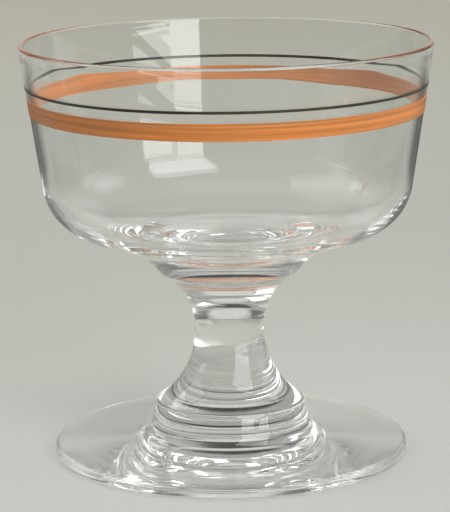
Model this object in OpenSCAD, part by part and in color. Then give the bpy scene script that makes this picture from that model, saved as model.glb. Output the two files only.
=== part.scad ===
// Footed dessert glass: a wide, leaning-sided bowl, a short waisted stem and a
// disc foot, all clear glass joined hot, with a fine dark line and a broad
// orange band painted round the bowl and fired on.
// The origin is the centre of the foot's underside, and the axis of the glass is Z.

/* [Bowl] */
// Radius of the rim, outside
rim_r = 41.8; // [39:0.1:45]
// Height of the bowl above its joint with the stem
bowl_h = 43; // [34:0.5:56]
// Radius at which the side and the underside would meet if the heel were sharp
heel_r = 36.5; // [33:0.1:38.5]
// Height of that corner above the joint
heel_rise = 6.9; // [5:0.1:9]
// Radius of the rounded heel, outside
heel_round = 11.5; // [8:0.1:14]
// Radius of the rounded heel, inside
inner_heel_round = 10; // [7:0.1:11]
// Thickness of the side just under the lip
wall_t = 1; // [0.8:0.05:1.5]
// Thickness of the side at the height of the heel
heel_t = 1.35; // [1.2:0.05:1.8]
// Thickness of the underside at the heel
under_t = 1.45; // [1.2:0.05:2.2]
// Thickness of the glass between the joint and the flat inner floor
floor_t = 3.4; // [3:0.1:5]
// Radius at which the flat floor and the rise to the heel would meet
floor_r = 22; // [20:0.5:24]
// Radius of the hollow curve between them
floor_round = 30; // [10:1:32]
// Thickness of the fire-polished lip
lip_t = 1.15; // [1:0.05:1.6]
// Height over which the side thickens into the lip
lip_h = 1.9; // [1.5:0.1:4]
// Radius of the soft turn where that thickening starts
lip_blend = 8; // [4:1:20]

/* [Stem] */
// Radius of the collar where it joins the bowl
collar_r = 17.9; // [17:0.1:21]
// Radius at which the neck meets the collar's slope
collar_edge_r = 14.2; // [13:0.1:15.5]
// Height of the collar's slope
collar_h = 4; // [3:0.1:5]
// Rounding of the edge between the neck and the collar's slope
collar_round = 3; // [1:0.1:5]
// Radius of the waist
waist_r = 7.1; // [5.5:0.1:9]
// Radius of the neck's hollow curve below the waist, seen from the side
neck_low_round = 17.9; // [15:0.1:21]
// Radius of the neck's hollow curve above the waist, seen from the side
neck_high_round = 13.9; // [12:0.1:17]
// Radius of the shoulder above the foot
shoulder_r = 15.2; // [13:0.1:15.6]
// Height of the skirt below the shoulder
skirt_h = 2.8; // [2:0.1:5]
// Rounding of the shoulder
shoulder_round = 1.6; // [0.8:0.1:2.2]

/* [Foot] */
// Radius of the foot
foot_r = 36.5; // [32:0.1:42]
// Thickness of the foot at its edge
edge_t = 2.3; // [1.9:0.1:3.2]
// Radius of the middle of the upper face, where its slope changes slowly
face_r = 27.6; // [25:0.1:30]
// Rise of the upper face from the edge to that middle
face_rise = 0.35; // [0.2:0.05:0.8]
// Rise of the upper face from there to the hub
root_rise = 0.85; // [0.4:0.05:1.2]
// Radius of the slow hollow curve of the upper face
face_round = 200; // [100:10:240]
// Radius of the hub where it would meet the foot's upper face
root_r = 16.4; // [16:0.1:18]
// Height of the hub, up to its joint with the stem
hub_h = 8; // [6.8:0.1:11]
// Radius of the hub at its joint with the stem
hub_r = 15.9; // [15.6:0.1:16.4]
// Radius of the hollow curve between the hub and the foot's upper face
root_round = 4.6; // [2:0.1:5]
// Rounding of the foot's upper edge
edge_top_round = 1.1; // [0.5:0.1:1.2]
// Rounding of the foot's lower edge
edge_base_round = 0.7; // [0.3:0.1:0.8]

/* [Painted rings] */
// Depth of the fine line's upper edge below the rim
line_drop = 8.2; // [6:0.1:9]
// Width of the fine line
line_w = 0.48; // [0.3:0.02:0.9]
// Depth of the broad band's upper edge below the rim
band_drop = 10.55; // [10:0.05:16]
// Width of the broad band
band_w = 3.45; // [2:0.05:6]
// Thickness of the fired paint
paint_t = 0.12; // [0.1:0.01:0.2]

/* [Hidden] */
$fn = 128;

// Straight runs in a small rounding and in the long hollow of the neck
round_steps = 10;
neck_steps = 36;
// Rounding of the lip, as a share of its thickness
lip_round_share = 0.49;

// Angles up and down from the waist at which the neck's curve ends
collar_angle = acos((neck_high_round + waist_r - collar_edge_r) / neck_high_round);
shoulder_angle = acos((neck_low_round + waist_r - shoulder_r) / neck_low_round);

// Heights of the glass, from the table upwards
shoulder_z = hub_h + skirt_h;
waist_z = shoulder_z + neck_low_round * sin(shoulder_angle);
collar_edge_z = waist_z + neck_high_round * sin(collar_angle);
joint_z = collar_edge_z + collar_h;
heel_z = joint_z + heel_rise;
floor_z = joint_z + floor_t;
rim_z = joint_z + bowl_h;

// Outer radius of the bowl's straight side at a height
function side_r(z) = heel_r + (z - heel_z) * (rim_r - heel_r) / (rim_z - heel_z);

function unit(v) = v / norm(v);

// A quarter turn to the left
function left_of(v) = [-v.y, v.x];

// Where the line from p along u crosses the line from q along v
function meet(p, u, q, v) = p + u * cross(q - p, v) / cross(u, v);

// Points on a curve about a centre, from one angle to another
function arc(centre, r, from, to, steps) = [
  for (k = [0:steps])
    let (a = from + (to - from) * k / steps)
      centre + r * [cos(a), sin(a)]
];

// Round the corner at q, between the runs to p and to s, with radius r
function corner(p, q, s, r) =
  let (
    to_p = unit(p - q),
    to_s = unit(s - q),
    half = acos(to_p * to_s) / 2,
    centre = q + unit(to_p + to_s) * r / sin(half),
    first = q + to_p * r / tan(half) - centre,
    side = sign(cross(to_p, to_s)),
    sweep = -side * (180 - 2 * half),
    start = atan2(first.y, first.x)
  )
  arc(centre, r, start, start + sweep, round_steps);

// Outline through the given corners, each [radius, height, rounding]
function outline(list) = [
  for (k = [0:len(list) - 1])
    let (
      q = list[k],
      p = list[(k + len(list) - 1) % len(list)],
      s = list[(k + 1) % len(list)]
    )
      each q.z > 0
        ? corner([p.x, p.y], [q.x, q.y], [s.x, s.y], q.z)
        : [[q.x, q.y]]
];

// Point on the neck's hollow curve, at an angle up from the waist
function neck_point(a) =
  let (r = a < 0 ? neck_low_round : neck_high_round)
    [waist_r + r - r * cos(a), waist_z + r * sin(a)];

// A clear wall: leaning side, rounded heel, flat inner floor and a thicker lip
module bowl() {
  lip_round = lip_t * lip_round_share;
  lip_low_z = rim_z - lip_h;
  lip_low = [side_r(lip_low_z) - wall_t, lip_low_z];
  side_low = [heel_r - heel_t, heel_z];
  // Inside, the heel follows the underside at an even thickness
  joint = [collar_r, joint_z];
  slope = unit([heel_r, heel_z] - joint);
  under = joint + left_of(slope) * under_t;
  inner_heel = meet(lip_low, side_low - lip_low, under, slope);
  color("azure", 0.4)
    rotate_extrude()
      polygon(outline([
        [0, joint_z, 0],
        [collar_r, joint_z, 0],
        [heel_r, heel_z, heel_round],
        [rim_r, rim_z, lip_round],
        [rim_r - lip_t, rim_z, lip_round],
        [lip_low.x, lip_low.y, lip_blend],
        [inner_heel.x, inner_heel.y, inner_heel_round],
        [floor_r, floor_z, floor_round],
        [0, floor_z, 0]
      ]));
}

// Solid stem: flared collar, hollow-sided neck, rounded shoulder and skirt
module stem() {
  base = [hub_r, hub_h];
  top = [collar_r, joint_z];
  shoulder = neck_point(-shoulder_angle);
  rising = [-sin(shoulder_angle), cos(shoulder_angle)];
  // Part of the neck's curve given up to the rounded shoulder
  trim = atan(shoulder_round / neck_low_round) / 2;
  // The collar's rounding touches the neck's curve and the slope above it
  middle = [waist_r + neck_high_round, waist_z];
  edge = neck_point(collar_angle);
  slope = unit(top - edge);
  begin = edge + left_of(slope) * collar_round - middle;
  reach = neck_high_round + collar_round;
  back = begin * slope;
  centre = middle + begin + slope * (sqrt(back * back + reach * reach - begin * begin) - back);
  low_end = middle - centre;
  high_end = -left_of(slope);
  neck_end = 180 - atan2(-low_end.y, -low_end.x);
  neck_begin = trim - shoulder_angle;
  color("azure", 0.4)
    rotate_extrude()
      polygon(concat(
        [[0, hub_h], base],
        corner(base, shoulder, shoulder + rising, shoulder_round),
        [
          for (k = [0:neck_steps - 1])
            neck_point(neck_begin + (neck_end - neck_begin) * k / neck_steps)
        ],
        arc(
          centre,
          collar_round,
          atan2(low_end.y, low_end.x),
          atan2(high_end.y, high_end.x),
          round_steps
        ),
        [top, [0, joint_z]]
      ));
}

// Disc foot, thin at its rounded edge, rising in hollow curves to its hub
module foot() {
  face_t = edge_t + face_rise;
  root_t = face_t + root_rise;
  color("azure", 0.4)
    rotate_extrude()
      polygon(outline([
        [0, 0, 0],
        [foot_r, 0, edge_base_round],
        [foot_r, edge_t, edge_top_round],
        [face_r, face_t, face_round],
        [root_r, root_t, root_round],
        [hub_r, hub_h, 0],
        [0, hub_h, 0]
      ]));
}

// A ring of paint on the bowl's straight side, at a depth below the rim
module painted_ring(drop, width) {
  top = rim_z - drop;
  base = top - width;
  rotate_extrude()
    polygon([
      [side_r(base), base],
      [side_r(base) + paint_t, base],
      [side_r(top) + paint_t, top],
      [side_r(top), top]
    ]);
}

// Broad orange band
module broad_band() {
  color("#D2753A")
    painted_ring(band_drop, band_w);
}

// Fine dark line above the band
module fine_line() {
  color("#2E2823")
    painted_ring(line_drop, line_w);
}

bowl();
stem();
foot();
broad_band();
fine_line();
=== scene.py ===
"""A footed dessert glass with two painted rings, dressed over its measured frame."""
import math

import bmesh
import bpy
from bpy.props import FloatProperty, FloatVectorProperty, IntProperty, PointerProperty
from mathutils import Matrix, Vector


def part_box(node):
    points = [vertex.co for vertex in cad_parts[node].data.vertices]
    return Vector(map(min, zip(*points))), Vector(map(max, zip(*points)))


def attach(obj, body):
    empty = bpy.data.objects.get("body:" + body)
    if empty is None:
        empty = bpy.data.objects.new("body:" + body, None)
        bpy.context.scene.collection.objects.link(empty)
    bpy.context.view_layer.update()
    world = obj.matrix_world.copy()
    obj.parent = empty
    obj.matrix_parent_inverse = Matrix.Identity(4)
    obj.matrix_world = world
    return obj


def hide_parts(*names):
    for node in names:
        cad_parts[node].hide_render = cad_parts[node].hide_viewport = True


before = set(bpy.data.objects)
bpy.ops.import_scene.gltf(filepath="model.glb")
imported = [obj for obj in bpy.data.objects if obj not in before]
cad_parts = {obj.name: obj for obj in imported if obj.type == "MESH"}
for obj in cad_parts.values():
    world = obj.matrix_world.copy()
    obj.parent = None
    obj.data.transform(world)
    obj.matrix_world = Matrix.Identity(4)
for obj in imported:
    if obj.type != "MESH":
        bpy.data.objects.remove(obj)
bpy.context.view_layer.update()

bl_info = {
    "name": "Footed Dessert Glass",
    "version": (1, 0, 0),
    "blender": (4, 5, 0),
    "location": "3D View > Sidebar > Glass",
    "description": "Turns a clear footed glass on a lathe outline, paints its rings and sets a soft studio",
    "category": "Object",
}

MM = 0.001
ROOT = "root"

GLASS_IOR = 1.52
ENAMEL_IOR = 1.5

# Points closer than this are welded into one
WELD = 0.0001 * MM
# An edge turned by more than this shows as an edge
SHARP = math.radians(30)
# A flat face this near a joint's height belongs to the joint
JOINT_NEAR = 0.001 * MM
# A face whose normal is at least this upright is level
LEVEL = 0.999
# Rounding of the lip, as a share of its thickness
LIP_ROUND_SHARE = 0.49
# Rounding of the paint's edges, as a share of its thickness, and the steps in it
PAINT_ROUND_SHARE = 0.45
PAINT_ROUND_STEPS = 5
# How far the paint reaches into the glass, so no gap shows under it
PAINT_SUNK = 0.01 * MM
# How far the fine line reaches past its node at each edge
FINE_LINE_SPREAD = 0.04 * MM


def linear(hex_colour):
    """An sRGB hex colour as linear red, green, blue and alpha."""
    parts = [int(hex_colour[k:k + 2], 16) / 255 for k in (0, 2, 4)]
    return [c / 12.92 if c <= 0.04045 else ((c + 0.055) / 1.055) ** 2.4 for c in parts] + [1.0]


def low(node):
    """Lowest height of a node of the frame."""
    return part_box(node)[0].z


def high(node):
    """Highest height of a node of the frame."""
    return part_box(node)[1].z


class BowlSizes(bpy.types.PropertyGroup):
    """Sizes of the bowl."""

    rim_r: FloatProperty(
        name="Rim radius", description="Outer radius at the rim, before the lip is rounded",
        default=41.8 * MM, unit="LENGTH",
    )
    heel_r: FloatProperty(
        name="Heel radius", description="Radius at which the side and the underside would meet",
        default=36.5 * MM, unit="LENGTH",
    )
    heel_rise: FloatProperty(
        name="Heel height", description="Height of that corner above the joint with the stem",
        default=6.9 * MM, unit="LENGTH",
    )
    heel_round: FloatProperty(
        name="Outer heel rounding", description="Radius of the rounded heel, outside",
        default=11.5 * MM, unit="LENGTH",
    )
    inner_heel_round: FloatProperty(
        name="Inner heel rounding", description="Radius of the rounded heel, inside",
        default=10 * MM, unit="LENGTH",
    )
    wall_t: FloatProperty(
        name="Side thickness", description="Thickness of the side just under the lip",
        default=1 * MM, unit="LENGTH",
    )
    heel_t: FloatProperty(
        name="Heel thickness", description="Thickness of the side at the height of the heel",
        default=1.15 * MM, unit="LENGTH",
    )
    under_t: FloatProperty(
        name="Underside thickness", description="Thickness of the underside at the heel",
        default=1.45 * MM, unit="LENGTH",
    )
    floor_t: FloatProperty(
        name="Floor thickness", description="Glass between the joint and the flat floor",
        default=3.4 * MM, unit="LENGTH",
    )
    floor_r: FloatProperty(
        name="Floor radius", description="Radius at which the flat floor and the rise to the heel would meet",
        default=22 * MM, unit="LENGTH",
    )
    floor_round: FloatProperty(
        name="Floor rounding", description="Radius of the hollow curve round the flat floor",
        default=30 * MM, unit="LENGTH",
    )
    lip_t: FloatProperty(
        name="Lip thickness", description="Thickness of the fire-polished lip",
        default=1.04 * MM, unit="LENGTH",
    )
    lip_h: FloatProperty(
        name="Lip height", description="Height over which the side thickens into the lip",
        default=1.6 * MM, unit="LENGTH",
    )
    lip_blend: FloatProperty(
        name="Lip blend", description="Radius of the soft turn where that thickening starts",
        default=45 * MM, unit="LENGTH",
    )


class StemSizes(bpy.types.PropertyGroup):
    """Sizes of the stem."""

    collar_r: FloatProperty(
        name="Collar radius", description="Radius of the collar where it joins the bowl",
        default=17.9 * MM, unit="LENGTH",
    )
    collar_edge_r: FloatProperty(
        name="Collar edge radius", description="Radius at which the neck meets the collar's slope",
        default=14.2 * MM, unit="LENGTH",
    )
    collar_round: FloatProperty(
        name="Collar rounding", description="Rounding of that edge",
        default=3 * MM, unit="LENGTH",
    )
    waist_r: FloatProperty(
        name="Waist radius", description="Radius at the narrowest part of the neck",
        default=7.1 * MM, unit="LENGTH",
    )
    neck_low_round: FloatProperty(
        name="Lower neck curve", description="Radius of the neck's hollow curve below the waist",
        default=17.9 * MM, unit="LENGTH",
    )
    neck_high_round: FloatProperty(
        name="Upper neck curve", description="Radius of the neck's hollow curve above the waist",
        default=13.9 * MM, unit="LENGTH",
    )
    shoulder_r: FloatProperty(
        name="Shoulder radius", description="Radius of the shoulder above the foot",
        default=15.2 * MM, unit="LENGTH",
    )
    skirt_h: FloatProperty(
        name="Skirt height", description="Height of the skirt below the shoulder",
        default=2.8 * MM, unit="LENGTH",
    )
    shoulder_round: FloatProperty(
        name="Shoulder rounding", description="Rounding of the shoulder",
        default=1.6 * MM, unit="LENGTH",
    )


class FootSizes(bpy.types.PropertyGroup):
    """Sizes of the foot."""

    foot_r: FloatProperty(
        name="Foot radius", description="Radius of the disc foot",
        default=36.5 * MM, unit="LENGTH",
    )
    edge_t: FloatProperty(
        name="Edge thickness", description="Thickness of the foot at its edge",
        default=2.3 * MM, unit="LENGTH",
    )
    face_r: FloatProperty(
        name="Face radius", description="Radius of the middle of the upper face",
        default=27.6 * MM, unit="LENGTH",
    )
    face_rise: FloatProperty(
        name="Outer rise", description="Rise of the upper face from the edge to its middle",
        default=0.35 * MM, unit="LENGTH",
    )
    root_rise: FloatProperty(
        name="Inner rise", description="Rise of the upper face from its middle to the hub",
        default=0.85 * MM, unit="LENGTH",
    )
    face_round: FloatProperty(
        name="Face curve", description="Radius of the slow hollow curve of the upper face",
        default=200 * MM, unit="LENGTH",
    )
    root_r: FloatProperty(
        name="Root radius", description="Radius of the hub where it would meet the upper face",
        default=16.4 * MM, unit="LENGTH",
    )
    root_round: FloatProperty(
        name="Root curve", description="Radius of the hollow curve between hub and foot",
        default=4.6 * MM, unit="LENGTH",
    )
    hub_r: FloatProperty(
        name="Hub radius", description="Radius of the hub at its joint with the stem",
        default=15.9 * MM, unit="LENGTH",
    )
    edge_top_round: FloatProperty(
        name="Upper edge rounding", description="Rounding of the foot's upper edge",
        default=1.1 * MM, unit="LENGTH",
    )
    edge_base_round: FloatProperty(
        name="Lower edge rounding", description="Rounding of the foot's lower edge",
        default=0.7 * MM, unit="LENGTH",
    )


class GlassColours(bpy.types.PropertyGroup):
    """Tint of the glass, and the share of a lamp's light that goes straight through each piece."""

    tint: FloatVectorProperty(
        name="Tint", description="Colour of the glass itself",
        default=linear("FCFDFC"), size=4, subtype="COLOR",
    )
    through_bowl: FloatVectorProperty(
        name="Light through the bowl", description="What the bowl's thin side lets pass",
        default=linear("F4F5F3"), size=4, subtype="COLOR",
    )
    through_stem: FloatVectorProperty(
        name="Light through the stem", description="What the solid stem lets pass",
        default=linear("6E6F6C"), size=4, subtype="COLOR",
    )
    through_foot: FloatVectorProperty(
        name="Light through the foot", description="What the flat disc lets pass",
        default=linear("E4E5E2"), size=4, subtype="COLOR",
    )


class PaintLooks(bpy.types.PropertyGroup):
    """Thickness and colours of the painted rings."""

    paint_t: FloatProperty(
        name="Paint thickness", description="How far the fired paint stands off the glass",
        default=0.12 * MM, unit="LENGTH",
    )
    orange: FloatVectorProperty(
        name="Orange", description="Colour of the broad band",
        default=linear("D08040"), size=4, subtype="COLOR",
    )
    orange_thin: FloatVectorProperty(
        name="Thin orange", description="Colour where the brush left the orange thinner",
        default=linear("C6804A"), size=4, subtype="COLOR",
    )
    dark: FloatVectorProperty(
        name="Dark", description="Colour of the fine line",
        default=linear("2E2920"), size=4, subtype="COLOR",
    )
    dark_thin: FloatVectorProperty(
        name="Thin dark", description="Colour where the brush left the dark thinner",
        default=linear("3D372B"), size=4, subtype="COLOR",
    )


class TurningSettings(bpy.types.PropertyGroup):
    """How finely the outlines are turned."""

    around: IntProperty(
        name="Steps round", description="Steps in a full turn of an outline", default=256,
    )
    arc_steps: IntProperty(
        name="Steps in a curve", description="Steps in a rounded corner of an outline", default=18,
    )


def values(name):
    """The scene's own copy of a group of sizes or colours."""
    return getattr(bpy.context.scene, name)


def add(tree, kind, settings=None, **links):
    """Adds a node, sets its properties and inputs, and links what is an output."""
    node = tree.nodes.new(kind)
    for key, value in (settings or {}).items():
        setattr(node, key, value)
    for key, value in links.items():
        socket = node.inputs[int(key[1:])] if key[1:].isdigit() else node.inputs[key.replace("_", " ")]
        if isinstance(value, bpy.types.NodeSocket):
            tree.links.new(value, socket)
        else:
            socket.default_value = value
    return node


def blank_material(name):
    """A material with an output and nothing else."""
    material = bpy.data.materials.new(name)
    material.use_nodes = True
    material.node_tree.nodes.clear()
    return material


def clear_glass(name, tint, through):
    """Soda lime glass, blown and fire polished: it bends what is behind it, faintly grey where thick."""
    material = blank_material(name)
    tree = material.node_tree
    glass = add(
        tree, "ShaderNodeBsdfPrincipled",
        Base_Color=tint, Roughness=0.0, IOR=GLASS_IOR, Transmission_Weight=1.0,
    )
    # Lamps shine through thin glass as through a pane, and solid glass throws more of their light aside
    passing = add(tree, "ShaderNodeBsdfTransparent", Color=through)
    path = add(tree, "ShaderNodeLightPath")
    mixed = add(
        tree, "ShaderNodeMixShader",
        i0=path.outputs["Is Shadow Ray"], i1=glass.outputs[0], i2=passing.outputs[0],
    )
    add(tree, "ShaderNodeOutputMaterial", Surface=mixed.outputs[0])
    return material


def fused_joint():
    """A joint made hot: the two pieces of glass are one there, so the eye sees no surface."""
    material = blank_material("fused glass joint")
    tree = material.node_tree
    nothing = add(tree, "ShaderNodeBsdfTransparent", Color=(1, 1, 1, 1))
    add(tree, "ShaderNodeOutputMaterial", Surface=nothing.outputs[0])
    return material


def fired_enamel(name, full, thin, streak):
    """Glass enamel, brushed on as the glass turns and fired: glossy, with fine streaks running round."""
    material = blank_material(name)
    tree = material.node_tree
    place = add(tree, "ShaderNodeTexCoord")
    # Streaks are a few tenths of a millimetre apart up the glass and some centimetres long round it
    long = 1 / (45 * MM)
    fine = 1 / (0.42 * MM)
    drawn = add(tree, "ShaderNodeMapping", Vector=place.outputs["Object"], Scale=(long, long, fine))
    streaks = add(tree, "ShaderNodeTexNoise", Vector=drawn.outputs[0], Scale=1.0, Detail=2.0)
    # The brush carries less paint in some stretches of a few centimetres
    stretch = 1 / (16 * MM)
    rise = 1 / (3 * MM)
    reach = add(tree, "ShaderNodeMapping", Vector=place.outputs["Object"], Scale=(stretch, stretch, rise))
    load = add(tree, "ShaderNodeTexNoise", Vector=reach.outputs[0], Scale=1.0, Detail=1.0)
    thinned = add(tree, "ShaderNodeMapRange", Value=load.outputs[0], From_Min=0.35, From_Max=0.65)
    colour = add(tree, "ShaderNodeMix", {"data_type": "RGBA"}, i0=thinned.outputs[0], i6=full, i7=thin)
    shade = add(
        tree, "ShaderNodeMapRange",
        Value=streaks.outputs[0], From_Min=0.3, From_Max=0.7, To_Min=1 - streak, To_Max=1 + streak,
    )
    tinted = add(
        tree, "ShaderNodeVectorMath", {"operation": "SCALE"}, i0=colour.outputs[2], Scale=shade.outputs[0],
    )
    bump = add(tree, "ShaderNodeBump", Strength=0.25, Distance=0.02 * MM, Height=streaks.outputs[0])
    enamel = add(
        tree, "ShaderNodeBsdfPrincipled",
        Base_Color=tinted.outputs[0], Roughness=0.28, IOR=ENAMEL_IOR, Specular_IOR_Level=0.3,
        Normal=bump.outputs[0],
    )
    add(tree, "ShaderNodeOutputMaterial", Surface=enamel.outputs[0])
    return material


class Lathe:
    """An outline of radius and height, drawn run by run and then turned about the upright axis."""

    def __init__(self):
        self.bm = bmesh.new()
        self.last = None

    def start(self, point):
        """Begins the outline at a point."""
        self.last = self.bm.verts.new((point[0], 0, point[1]))
        return self

    def run(self, point, cuts=0):
        """A straight run to a point, with even cuts along it."""
        begin = self.last.co.copy()
        end = Vector((point[0], 0, point[1]))
        for k in range(1, cuts + 2):
            made = bmesh.ops.extrude_vert_indiv(self.bm, verts=[self.last])["verts"][0]
            made.co = begin.lerp(end, k / (cuts + 1))
            self.last = made
        return self

    def arc(self, centre, angle, steps):
        """A curve about a centre. A positive angle turns from radius towards height."""
        made = bmesh.ops.spin(
            self.bm, geom=[self.last], cent=(centre[0], 0, centre[1]), axis=(0, 1, 0),
            angle=-angle, steps=steps, use_duplicate=False,
        )
        self.last = [v for v in made["geom_last"] if isinstance(v, bmesh.types.BMVert)][0]
        return self

    def corner(self, before, at, after, radius, steps, cuts=0):
        """A straight run, with even cuts along it, and then a rounded corner that turns towards after."""
        before, at, after = (Vector(p) for p in (before, at, after))
        back = (before - at).normalized()
        on = (after - at).normalized()
        half = math.acos(max(-1, min(1, back.dot(on)))) / 2
        centre = at + (back + on).normalized() * radius / math.sin(half)
        side = back.x * on.y - back.y * on.x
        sweep = math.copysign(math.pi - 2 * half, -side)
        self.run(at + back * radius / math.tan(half), cuts)
        return self.arc(centre, sweep, steps)

    def turn(self, name, around, closed=False):
        """Turns the outline into a closed piece, with its poles welded and faces outwards."""
        bm = self.bm
        if closed:
            bm.verts.ensure_lookup_table()
            bm.edges.new((self.last, bm.verts[0]))
        bmesh.ops.spin(
            bm, geom=bm.verts[:] + bm.edges[:], cent=(0, 0, 0), axis=(0, 0, 1),
            angle=math.tau, steps=around, use_merge=True, use_duplicate=False,
        )
        bmesh.ops.remove_doubles(bm, verts=bm.verts[:], dist=WELD)
        bmesh.ops.recalc_face_normals(bm, faces=bm.faces[:])
        # Welding leaves the faces in no set order, so they go back to the order of their points
        bm.verts.index_update()
        count = len(bm.verts)

        def rank(face):
            """A number that grows with the lowest three numbers of a face's points."""
            first, second, third = sorted(v.index for v in face.verts)[:3]
            return (first * count + second) * count + third

        bm.faces.sort(key=rank)
        mesh = bpy.data.meshes.new(name)
        bm.to_mesh(mesh)
        bm.free()
        mesh.shade_smooth()
        mesh.set_sharp_from_angle(angle=SHARP)
        piece = bpy.data.objects.new(name, mesh)
        bpy.context.collection.objects.link(piece)
        return piece


def fuse_joints(piece, heights):
    """Gives the flat faces at these heights the fused joint's material, with a crisp edge round them."""
    bm = bmesh.new()
    bm.from_mesh(piece.data)
    for face in bm.faces:
        level = min(abs(face.calc_center_median().z - z) for z in heights)
        if level < JOINT_NEAR and abs(face.normal.z) > LEVEL:
            face.material_index = 1
    for edge in bm.edges:
        if len({face.material_index for face in edge.link_faces}) > 1:
            edge.smooth = False
    bm.to_mesh(piece.data)
    bm.free()


def finish_glass(piece, node, material, joints):
    """Dresses a turned piece in clear glass and lets it stand for its node."""
    piece.data.materials.append(bpy.data.materials[material])
    piece.data.materials.append(bpy.data.materials["fused glass joint"])
    fuse_joints(piece, joints)
    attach(piece, ROOT)
    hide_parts(node)


def meet(point, way, other, other_way):
    """Where the line from a point along a way crosses another such line."""
    return point + way * (other - point).cross(other_way) / way.cross(other_way)


def side_r(z):
    """Outer radius of the bowl's straight side at a height."""
    s = values("bowl_sizes")
    heel_z = low("bowl") + s.heel_rise
    return s.heel_r + (z - heel_z) * (s.rim_r - s.heel_r) / (high("bowl") - heel_z)


class MESH_OT_glass_materials(bpy.types.Operator):
    """Makes the glass, the fused joint and the two enamels"""

    bl_idname = "mesh.glass_materials"
    bl_label = "Glass and enamel materials"

    def execute(self, context):
        glass = values("glass_colours")
        paint = values("paint_looks")
        clear_glass("thin soda lime glass", glass.tint, glass.through_bowl)
        clear_glass("solid soda lime glass", glass.tint, glass.through_stem)
        clear_glass("disc soda lime glass", glass.tint, glass.through_foot)
        fused_joint()
        fired_enamel("orange fired enamel", paint.orange, paint.orange_thin, 0.22)
        fired_enamel("dark fired enamel", paint.dark, paint.dark_thin, 0.15)
        return {"FINISHED"}


class MESH_OT_glass_bowl(bpy.types.Operator):
    """Turns the bowl: leaning side, rounded heel, thick dished floor and fire-polished lip"""

    bl_idname = "mesh.glass_bowl"
    bl_label = "Bowl"

    def execute(self, context):
        s = values("bowl_sizes")
        t = values("turning")
        joint_z = low("bowl")
        rim_z = high("bowl")
        floor_z = joint_z + s.floor_t
        lip_low_z = rim_z - s.lip_h
        joint = Vector((values("stem_sizes").collar_r, joint_z))
        heel = Vector((s.heel_r, joint_z + s.heel_rise))
        rim_out = (s.rim_r, rim_z)
        rim_in = (s.rim_r - s.lip_t, rim_z)
        lip_low = Vector((side_r(lip_low_z) - s.wall_t, lip_low_z))
        side_low = Vector((s.heel_r - s.heel_t, heel.y))
        # Inside, the heel follows the underside at an even thickness
        slope = (heel - joint).normalized()
        under = joint + slope.orthogonal() * s.under_t
        inner_heel = meet(lip_low, side_low - lip_low, under, slope)
        floor_edge = (s.floor_r, floor_z)
        floor = (0, floor_z)
        lip_round = s.lip_t * LIP_ROUND_SHARE
        n = t.arc_steps
        # Each corner ends with the steps in its rounding and the cuts in the straight run before it
        lathe = Lathe().start((0, joint_z)).run(joint, 3)
        lathe.corner(joint, heel, rim_out, s.heel_round, 3 * n, 6)
        lathe.corner(heel, rim_out, rim_in, lip_round, n, 8)
        lathe.corner(rim_out, rim_in, lip_low, lip_round, n)
        lathe.corner(rim_in, lip_low, inner_heel, s.lip_blend, 6, 4)
        lathe.corner(lip_low, inner_heel, floor_edge, s.inner_heel_round, 3 * n, 8)
        lathe.corner(inner_heel, floor_edge, floor, s.floor_round, n, 4)
        lathe.run(floor, 6)
        finish_glass(lathe.turn("glass_bowl", t.around), "bowl", "thin soda lime glass", [joint_z])
        return {"FINISHED"}


class MESH_OT_glass_stem(bpy.types.Operator):
    """Turns the solid stem: flared collar, hollow-sided neck, rounded shoulder and skirt"""

    bl_idname = "mesh.glass_stem"
    bl_label = "Stem"

    def execute(self, context):
        s = values("stem_sizes")
        t = values("turning")
        base_z = low("stem")
        joint_z = high("stem")
        hub_r = values("foot_sizes").hub_r
        n = t.arc_steps
        low_r, high_r = s.neck_low_round, s.neck_high_round
        low_angle = math.acos((low_r + s.waist_r - s.shoulder_r) / low_r)
        high_angle = math.acos((high_r + s.waist_r - s.collar_edge_r) / high_r)
        waist_z = base_z + s.skirt_h + low_r * math.sin(low_angle)
        low_middle = Vector((s.waist_r + low_r, waist_z))
        high_middle = Vector((s.waist_r + high_r, waist_z))

        def neck(a):
            """Point on the lower curve at an angle down from the waist."""
            return low_middle - low_r * Vector((math.cos(a), math.sin(a)))

        shoulder = neck(low_angle)
        rising = Vector((-math.sin(low_angle), math.cos(low_angle)))
        trim = math.atan(s.shoulder_round / low_r) / 2
        base = (hub_r, base_z)
        top = Vector((s.collar_r, joint_z))
        edge = high_middle + high_r * Vector((-math.cos(high_angle), math.sin(high_angle)))
        # The collar's rounding touches the upper curve and the slope above it
        slope = (top - edge).normalized()
        inward = slope.orthogonal()
        begin = edge + inward * s.collar_round - high_middle
        reach = high_r + s.collar_round
        half = begin.dot(slope)
        along = math.sqrt(half ** 2 + reach ** 2 - begin.length_squared) - half
        centre = high_middle + begin + slope * along
        out = (high_middle - centre).normalized()
        neck_sweep = math.pi - math.atan2(-out.y, -out.x)
        round_sweep = out.angle(-inward)

        lathe = Lathe().start((0, base_z)).run(base, 3)
        lathe.corner(base, shoulder, shoulder + rising, s.shoulder_round, n, 4)
        lathe.run(neck(low_angle - trim))
        lathe.arc(low_middle, trim - low_angle, 3 * n)
        lathe.arc(high_middle, -neck_sweep, 3 * n)
        lathe.arc(centre, round_sweep, n)
        lathe.run(top, 4).run((0, joint_z), 3)
        finish_glass(lathe.turn("glass_stem", t.around), "stem", "solid soda lime glass", [base_z, joint_z])
        return {"FINISHED"}


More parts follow.
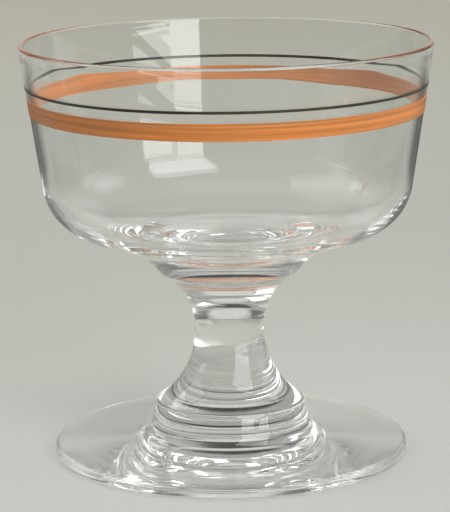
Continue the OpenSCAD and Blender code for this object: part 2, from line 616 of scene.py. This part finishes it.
class MESH_OT_glass_foot(bpy.types.Operator):
    """Turns the foot: a disc with a rounded edge that rises in a hollow curve to its hub"""

    bl_idname = "mesh.glass_foot"
    bl_label = "Foot"

    def execute(self, context):
        s = values("foot_sizes")
        t = values("turning")
        base_z = low("foot")
        hub_z = high("foot")
        n = t.arc_steps
        centre = (0, base_z)
        edge_low = (s.foot_r, base_z)
        edge_high = (s.foot_r, base_z + s.edge_t)
        face = (s.face_r, edge_high[1] + s.face_rise)
        root = (s.root_r, face[1] + s.root_rise)
        hub = (s.hub_r, hub_z)
        lathe = Lathe().start(centre)
        lathe.corner(centre, edge_low, edge_high, s.edge_base_round, n, 8)
        lathe.corner(edge_low, edge_high, face, s.edge_top_round, n)
        lathe.corner(edge_high, face, root, s.face_round, n)
        lathe.corner(face, root, hub, s.root_round, n, 2)
        lathe.run(hub, 2).run((0, hub_z), 3)
        finish_glass(lathe.turn("glass_foot", t.around), "foot", "disc soda lime glass", [hub_z])
        return {"FINISHED"}


def painted_ring(node, name, material, spread=0.0):
    """A ring of fired paint that grips the bowl's side, with soft edges."""
    s = values("paint_looks")
    t = values("turning")
    base, top = low(node) - spread, high(node) + spread
    soft = s.paint_t * PAINT_ROUND_SHARE
    steps = PAINT_ROUND_STEPS
    corners = [
        (side_r(base) - PAINT_SUNK, base), (side_r(base) + s.paint_t, base),
        (side_r(top) + s.paint_t, top), (side_r(top) - PAINT_SUNK, top),
    ]
    lathe = Lathe().start(corners[0])
    lathe.corner(corners[0], corners[1], corners[2], soft, steps)
    lathe.corner(corners[1], corners[2], corners[3], soft, steps, 6)
    lathe.run(corners[3])
    piece = lathe.turn(name, t.around, closed=True)
    piece.data.materials.append(bpy.data.materials[material])
    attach(piece, ROOT)
    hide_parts(node)


class MESH_OT_glass_rings(bpy.types.Operator):
    """Paints the broad orange band and the fine dark line round the bowl"""

    bl_idname = "mesh.glass_rings"
    bl_label = "Painted rings"

    def execute(self, context):
        painted_ring("broad_band", "painted_broad_band", "orange fired enamel")
        painted_ring(
            "fine_line", "painted_fine_line", "dark fired enamel", FINE_LINE_SPREAD,
        )
        return {"FINISHED"}


# What the lamps face, a little above the middle of the glass, and their distance from it
LIT_POINT = Vector((0, 0, 45 * MM))
LAMP_DISTANCE = 1.0

# Name, azimuth from the camera's side, elevation, width, height and brightness of each soft light.
# The window is one lamp and three panes beside it, with dark bars between them.
SOFTBOXES = (
    ("window", 25, 7, 0.31, 0.27, 3.9),
    ("window_pane_low", 46, 2.85, 0.42, 0.17, 3.9),
    ("window_pane_middle", 46, 9.45, 0.42, 0.0105, 3.9),
    ("window_pane_high", 46, 12.8, 0.42, 0.066, 3.9),
    ("window_high", 36, 34, 0.72, 0.70, 3.5),
    ("box_left_behind", -112, 48, 0.80, 0.70, 1.1),
    ("lamp_left_behind", -127, 36, 0.25, 0.20, 2.0),
    ("box_right_behind", 105, 30, 0.44, 0.50, 1.2),
    ("card_left", -84, 19, 0.34, 0.14, 2.0),
)

# Name, azimuth, distance, width and height of each grey card behind the glass, out of the camera's sight
GREY_CARDS = (
    ("grey_card_left", -149, 0.2, 0.18, 0.05),
    ("grey_card_right", 149, 0.2, 0.18, 0.05),
    ("near_card_left", -140, 0.1, 0.06, 0.035),
    ("near_card_right", 140, 0.1, 0.06, 0.035),
)

# A card is whole up to this share of its width and height from its middle, and fades out at its border
CARD_WHOLE = 0.2
CARD_BORDER = 0.5
# Share of a card that shows straight through the glass
CARD_THROUGH = 0.25

# Radius of the round sheet of paper, and how far it lies below the foot, so the two never share a place
PAPER_R = 3.0
PAPER_DROP = 0.02 * MM
# Cuts along its radius and steps round it
PAPER_CUTS = 10
PAPER_STEPS = 96
# The paper's tone beside the glass, and the painted light and shade behind it: where each painted tone begins
# and is full. It is painted darker just behind the glass and paler and warmer far back, for how the lamps'
# light falls on the paper
PAPER_TONE = "D3D4CF"
PAPER_PAINTED_LIGHT_FADES = (
    (0.0, 0.14, "CDCEC7"),
    (0.25, 0.85, "E7E3D4"),
)

# Parts of the room, by where each begins and is full along the Y or Z of a direction from the glass
ROOM_PARTS = (
    ("behind", "Y", 0.85, 0.95),
    ("above table level", "Z", 0.2, 0.3),
    ("behind and up", "Y", 0.80, 0.88),
    ("above the backdrop", "Z", 0.29, 0.325),
    ("overhead", "Z", 0.9, 0.96),
)
# The room is dark at table level but pale behind the glass, dark again above that backdrop, and paler
# overhead. Each row names a tone and the part of the room in which it turns from the first to the second.
ROOM_TONES = (
    ("table level", "behind", "626262", "D0D0CC"),
    ("backdrop", "above the backdrop", "B6B6B2", "3C3C3A"),
    ("walls", "behind and up", "A2A29F", "backdrop"),
    ("sides", "above table level", "table level", "walls"),
    ("room", "overhead", "sides", "D4D4D0"),
)
# What the camera itself would see past the paper
BACKDROP_TONE = "B6B4AB"

# The camera's place, how far it looks down and leans, and its focal length in pixels of its frame's height
EYE = (-0.75 * MM, -484.2 * MM, 145.8 * MM)
PITCH = math.radians(12.26)
ROLL = math.radians(-0.75)
FOCAL_PIXELS = 2420.8
FRAME_PIXELS = 512
SENSOR = 36

# Light may cross this many glass surfaces, and this many shadows or fused joints
BOUNCES = 96
SEE_THROUGH = 32


def softbox(name, azimuth, elevation, width, height, strength):
    """A rectangular soft light that faces the glass, placed by its direction from it."""
    a, e = math.radians(azimuth), math.radians(elevation)
    way = Vector((math.sin(a) * math.cos(e), -math.cos(a) * math.cos(e), math.sin(e)))
    lamp = bpy.data.lights.new(name, "AREA")
    lamp.shape = "RECTANGLE"
    lamp.size = width
    lamp.size_y = height
    # The power at which the lamp's face is as bright as its strength
    lamp.energy = strength * math.pi * width * height
    box = bpy.data.objects.new(name, lamp)
    box.location = LIT_POINT + way * LAMP_DISTANCE
    box.rotation_mode = "QUATERNION"
    box.rotation_quaternion = (-way).to_track_quat("-Z", "Y")
    box.visible_camera = False
    bpy.context.collection.objects.link(box)


def grey_cloth():
    """Thin grey cloth on a frame, thinner towards its borders, so it shades the glass without a hard edge."""
    material = blank_material("grey cloth")
    tree = material.node_tree
    place = add(tree, "ShaderNodeUVMap")
    parts = add(tree, "ShaderNodeSeparateXYZ", Vector=place.outputs[0])
    covers = []
    for side in ("X", "Y"):
        off_middle = add(tree, "ShaderNodeMath", {"operation": "SUBTRACT"}, i0=parts.outputs[side], i1=0.5)
        away = add(tree, "ShaderNodeMath", {"operation": "ABSOLUTE"}, i0=off_middle.outputs[0])
        edge = add(
            tree, "ShaderNodeMapRange", {"interpolation_type": "SMOOTHSTEP"},
            Value=away.outputs[0], From_Min=CARD_WHOLE, From_Max=CARD_BORDER, To_Min=1.0, To_Max=0.0,
        )
        covers.append(edge.outputs[0])
    # It shows in full to what is reflected in the glass and only faintly through it, so no view looks smoky
    path = add(tree, "ShaderNodeLightPath")
    seen = add(
        tree, "ShaderNodeMapRange",
        Value=path.outputs["Glossy Depth"], From_Min=0.0, From_Max=1.0, To_Min=CARD_THROUGH, To_Max=1.0,
    )
    cover = seen.outputs[0]
    for part in covers:
        cover = add(tree, "ShaderNodeMath", {"operation": "MULTIPLY"}, i0=cover, i1=part).outputs[0]
    cloth = add(tree, "ShaderNodeBsdfPrincipled", Base_Color=linear("747472"), Roughness=0.9)
    open_air = add(tree, "ShaderNodeBsdfTransparent", Color=(1, 1, 1, 1))
    mixed = add(tree, "ShaderNodeMixShader", i0=cover, i1=open_air.outputs[0], i2=cloth.outputs[0])
    add(tree, "ShaderNodeOutputMaterial", Surface=mixed.outputs[0])
    return material


def grey_card(name, azimuth, distance, width, height, material):
    """An upright card that darkens the edges of clear glass, as photographers set beside it."""
    a = math.radians(azimuth)
    bm = bmesh.new()
    bm.loops.layers.uv.new("card")
    bmesh.ops.create_grid(bm, x_segments=1, y_segments=1, size=0.5, calc_uvs=True)
    upright = Matrix.Rotation(math.pi / 2, 4, "X") @ Matrix.Diagonal((width, height, 1, 1))
    place = Matrix.Translation((math.sin(a) * distance, -math.cos(a) * distance, height / 2))
    bm.transform(place @ Matrix.Rotation(a, 4, "Z") @ upright)
    mesh = bpy.data.meshes.new(name)
    bm.to_mesh(mesh)
    bm.free()
    mesh.materials.append(material)
    card = bpy.data.objects.new(name, mesh)
    card.visible_camera = False
    card.visible_diffuse = False
    card.visible_shadow = False
    bpy.context.collection.objects.link(card)


class SCENE_OT_glass_studio(bpy.types.Operator):
    """Sets the pale floor, the soft lights and the camera"""

    bl_idname = "scene.glass_studio"
    bl_label = "Studio"

    def execute(self, context):
        scene = context.scene
        # A round sheet of pale paper, laid flat
        sheet = Lathe().start((0, -PAPER_DROP)).run((PAPER_R, -PAPER_DROP), PAPER_CUTS)
        floor = sheet.turn("studio_floor", PAPER_STEPS)
        if floor.data.polygons[0].normal.z < 0:
            floor.data.flip_normals()
        material = blank_material("studio paper")
        tree = material.node_tree
        spot = add(tree, "ShaderNodeTexCoord")
        depth = add(tree, "ShaderNodeSeparateXYZ", Vector=spot.outputs["Object"])
        # Painted light and shade: the paper's tone darkens just behind the glass and pales far back, painted
        # in for how the lamps' light falls off over the paper
        tone = linear(PAPER_TONE)
        for begin, full, painted_light_tone in PAPER_PAINTED_LIGHT_FADES:
            painted_light_share = add(tree, "ShaderNodeMapRange", Value=depth.outputs["Y"], From_Min=begin, From_Max=full)
            tone = add(
                tree, "ShaderNodeMix", {"data_type": "RGBA"},
                i0=painted_light_share.outputs[0], i6=tone, i7=linear(painted_light_tone),
            ).outputs[2]
        paper = add(tree, "ShaderNodeBsdfPrincipled", Base_Color=tone, Roughness=0.9)
        add(tree, "ShaderNodeOutputMaterial", Surface=paper.outputs[0])
        floor.data.materials.append(material)

        for lamp in SOFTBOXES:
            softbox(*lamp)
        grey = grey_cloth()
        for card in GREY_CARDS:
            grey_card(*card, grey)

        world = bpy.data.worlds.new("studio air")
        scene.world = world
        world.use_nodes = True
        world.node_tree.nodes.clear()
        air = world.node_tree
        spot = add(air, "ShaderNodeTexCoord")
        way = add(air, "ShaderNodeSeparateXYZ", Vector=spot.outputs["Generated"])
        parts = {}
        for name, axis, begin, full in ROOM_PARTS:
            parts[name] = add(
                air, "ShaderNodeMapRange", {"interpolation_type": "SMOOTHSTEP"},
                Value=way.outputs[axis], From_Min=begin, From_Max=full,
            )
        tones = {}
        for name, part, first, second in ROOM_TONES:
            tones[name] = add(
                air, "ShaderNodeMix", {"data_type": "RGBA"}, i0=parts[part].outputs[0],
                i6=tones[first] if first in tones else linear(first),
                i7=tones[second] if second in tones else linear(second),
            ).outputs[2]
        room = add(air, "ShaderNodeBackground", Color=tones["room"], Strength=1.0)
        backdrop = add(air, "ShaderNodeBackground", Color=linear(BACKDROP_TONE), Strength=1.0)
        path = add(air, "ShaderNodeLightPath")
        sky = add(
            air, "ShaderNodeMixShader",
            i0=path.outputs["Is Camera Ray"], i1=room.outputs[0], i2=backdrop.outputs[0],
        )
        add(air, "ShaderNodeOutputWorld", Surface=sky.outputs[0])

        # The camera looks from a little above the rim, with a long lens
        camera = bpy.data.cameras.new("camera")
        camera.sensor_width = SENSOR
        camera.lens = SENSOR * FOCAL_PIXELS / FRAME_PIXELS
        camera.clip_start = 0.05
        camera.clip_end = 20
        eye = bpy.data.objects.new("camera", camera)
        eye.rotation_mode = "QUATERNION"
        eye.location = EYE
        look = Vector((0, math.cos(PITCH), -math.sin(PITCH))).to_track_quat("-Z", "Y")
        eye.rotation_quaternion = look @ Matrix.Rotation(ROLL, 3, "Z").to_quaternion()
        context.collection.objects.link(eye)
        scene.camera = eye

        scene.view_settings.view_transform = "Standard"
        scene.cycles.max_bounces = BOUNCES
        scene.cycles.transmission_bounces = BOUNCES
        scene.cycles.glossy_bounces = BOUNCES
        scene.cycles.transparent_max_bounces = SEE_THROUGH
        # The glass bends the lamps' light on its way to the paper
        scene.cycles.caustics_refractive = True
        scene.cycles.caustics_reflective = True
        return {"FINISHED"}


STEPS = (
    MESH_OT_glass_materials,
    MESH_OT_glass_bowl,
    MESH_OT_glass_stem,
    MESH_OT_glass_foot,
    MESH_OT_glass_rings,
    SCENE_OT_glass_studio,
)


class VIEW3D_PT_glass(bpy.types.Panel):
    """Lists the steps of the glass"""

    bl_idname = "VIEW3D_PT_glass"
    bl_label = "Footed Dessert Glass"
    bl_space_type = "VIEW_3D"
    bl_region_type = "UI"
    bl_category = "Glass"

    def draw(self, context):
        for step in STEPS:
            self.layout.operator(step.bl_idname)


GROUPS = {
    "glass_colours": GlassColours,
    "bowl_sizes": BowlSizes,
    "stem_sizes": StemSizes,
    "foot_sizes": FootSizes,
    "paint_looks": PaintLooks,
    "turning": TurningSettings,
}


def register():
    for group in GROUPS.values():
        bpy.utils.register_class(group)
    for cls in STEPS + (VIEW3D_PT_glass,):
        bpy.utils.register_class(cls)
    for name, group in GROUPS.items():
        setattr(bpy.types.Scene, name, PointerProperty(type=group))


def unregister():
    for name in GROUPS:
        delattr(bpy.types.Scene, name)
    for cls in (VIEW3D_PT_glass,) + STEPS[::-1]:
        bpy.utils.unregister_class(cls)
    for group in GROUPS.values():
        bpy.utils.unregister_class(group)


def main():
    register()
    bpy.ops.mesh.glass_materials()
    bpy.ops.mesh.glass_bowl()
    bpy.ops.mesh.glass_stem()
    bpy.ops.mesh.glass_foot()
    bpy.ops.mesh.glass_rings()
    bpy.ops.scene.glass_studio()


if __name__ == "__main__":
    main()
